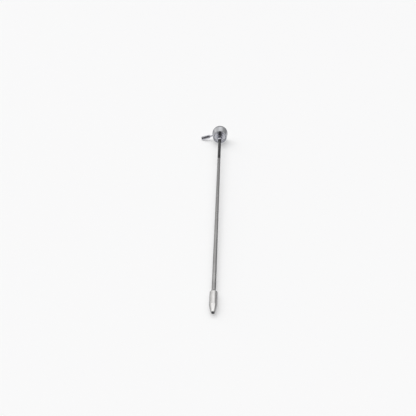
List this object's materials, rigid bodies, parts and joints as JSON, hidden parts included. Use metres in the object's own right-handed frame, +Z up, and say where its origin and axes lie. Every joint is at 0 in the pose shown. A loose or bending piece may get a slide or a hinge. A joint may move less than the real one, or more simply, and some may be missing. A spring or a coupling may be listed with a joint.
{
  "type": "drill paint mixer",
  "caption": "Right-angle drill paint mixer: a hex shank on a chromed round gear head turns a long steel shaft with a smooth bullet-shaped tip.",
  "frame": {"origin": "centre of the footprint on the bench, as the mixer lies at rest on the widest ring of its head, its tip and the end of its drive shank", "axes": "+Z up from the bench, +Y along the shaft towards the gear head (the shaft slopes 1.4 degrees up to the head), -X towards the drive shank, which droops to the bench"},
  "size_m": [0.0784, 0.6468, 0.0457],
  "materials": {
    "head_chrome": "bright chrome plate, light handling wear",
    "nose_chrome": "bright chrome plate",
    "cover_chrome": "bright chrome plate with fine turning marks",
    "shank_chrome": "chrome plate, fine scuffs from the chuck",
    "shaft_steel": "ground bright steel bar, turned thread at the head end",
    "tip_steel": "turned and polished steel",
    "screw_steel": "plated steel",
    "gear_steel": "cut steel with a film of grease",
    "pin_steel": "hardened steel",
    "bearing_steel": "ground and polished bearing steel",
    "cage_brass": "pressed brass",
    "bush_bronze": "sintered bronze",
    "seal_rubber": "matt black rubber",
    "gasket_fibre": "pressed fibre"
  },
  "bodies": {
    "gear_head": {"head_housing": "head_chrome", "nose_cone": "nose_chrome", "nose_o_ring": "seal_rubber", "seal_cap": "nose_chrome", "shaft_seal": "seal_rubber", "back_cover": "cover_chrome", "cover_gasket": "gasket_fibre", "cover_screws": "screw_steel", "rear_bush": "bush_bronze", "rear_thrust_washer": "bush_bronze", "bearing_outer_race": "bearing_steel", "input_bush": "bush_bronze", "input_seal": "seal_rubber", "input_thrust_washer": "bush_bronze"},
    "mixing_rotor": {"output_spindle": "gear_steel", "bevel_gear": "gear_steel", "gear_pin": "pin_steel", "gear_circlip": "pin_steel", "bearing_inner_race": "bearing_steel", "mixing_shaft": "shaft_steel", "shaft_pin": "pin_steel", "mixing_tip": "tip_steel", "tip_screw": "screw_steel"},
    "ball_cage": {"bearing_balls": "bearing_steel", "bearing_cage": "cage_brass"},
    "drive_input": {"drive_shank": "shank_chrome", "bevel_pinion": "gear_steel", "pinion_pin": "pin_steel", "shank_circlip": "pin_steel"}
  },
  "joints": [
    {"name": "shaft_spin", "type": "hinge", "parent": "gear_head", "child": "mixing_rotor", "pos_m": [0.01644, 0.31395, 0.02282], "axis": [0, 0.9997, 0.0248], "continuous": true},
    {"name": "shank_spin", "type": "hinge", "parent": "gear_head", "child": "drive_input", "pos_m": [0.01644, 0.31395, 0.02282], "axis": [-0.9459, 0.008, -0.3243], "continuous": true},
    {"name": "cage_spin", "type": "hinge", "parent": "gear_head", "child": "ball_cage", "pos_m": [0.01644, 0.31395, 0.02282], "axis": [0, 0.9997, 0.0248], "continuous": true}
  ],
  "couplings": [
    {"joint": "shank_spin", "follows": "shaft_spin", "ratio": 2},
    {"joint": "cage_spin", "follows": "shaft_spin", "ratio": 0.3958}
  ]
}
